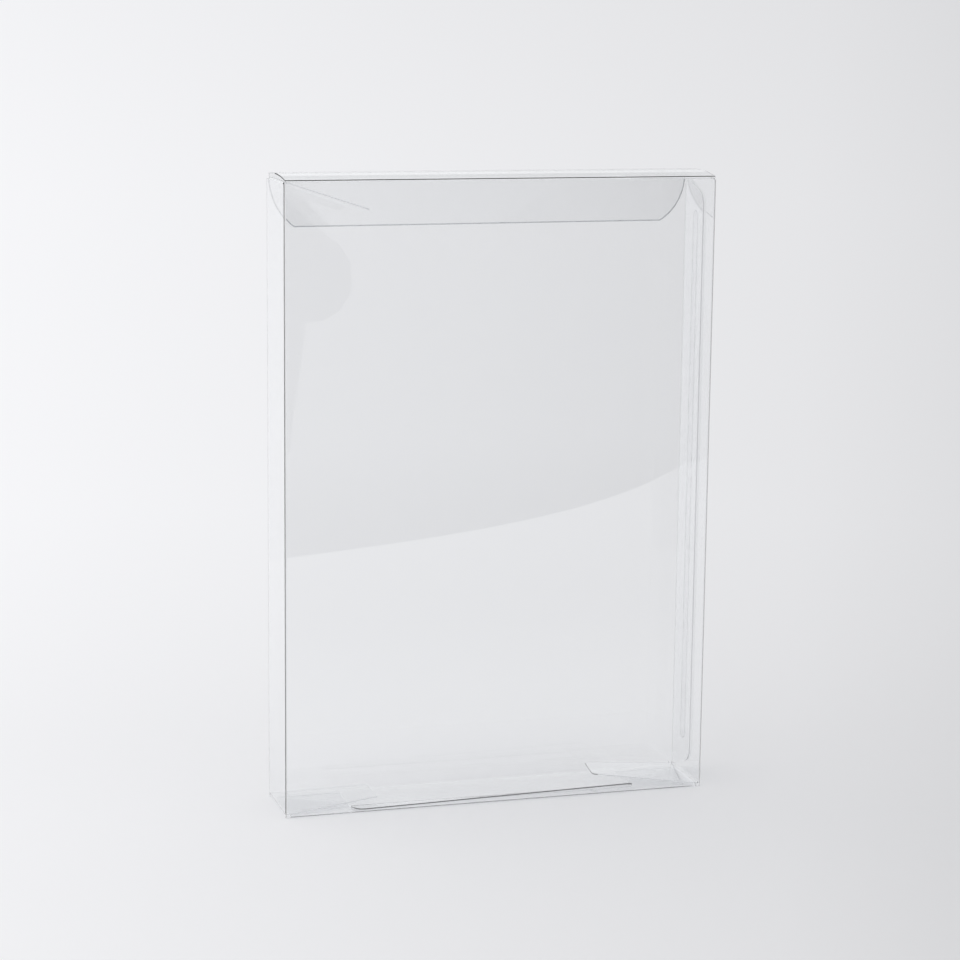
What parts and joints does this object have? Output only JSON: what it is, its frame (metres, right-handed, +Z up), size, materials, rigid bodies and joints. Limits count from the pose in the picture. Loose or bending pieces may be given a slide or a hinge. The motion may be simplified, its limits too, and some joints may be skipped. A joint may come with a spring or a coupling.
{
  "type": "game box protector",
  "caption": "Clear folded film box that stands upright around a boxed game, with a hinged tuck lid, dust flaps, a glued side seam and a snap-lock bottom.",
  "frame": {"origin": "middle of the footprint, on the surface that the box stands on", "axes": "+X to the right along the wide front panel, +Y from front to back, +Z up to the lid"},
  "size_m": [0.128, 0.024, 0.1856],
  "materials": {
    "clear_film": "clear, glossy",
    "clear_glue": "clear"
  },
  "bodies": {
    "box": {"sleeve": "clear_film", "seam_glue": "clear_glue"},
    "lid": {"lid": "clear_film"},
    "tuck": {"tuck_flap": "clear_film"}
  },
  "joints": [
    {"name": "lid_hinge", "type": "hinge", "parent": "box", "child": "lid", "pos_m": [0, -0.012, 0.18385], "axis": [1, 0, 0], "range_deg": [0, 110]},
    {"name": "tuck_fold", "type": "hinge", "parent": "lid", "child": "tuck", "pos_m": [0, 0.01083, 0.18463], "axis": [1, 0, 0], "range_deg": [-55, 0]}
  ],
  "couplings": [
    {"joint": "tuck_fold", "follows": "lid_hinge", "ratio": -0.5}
  ]
}
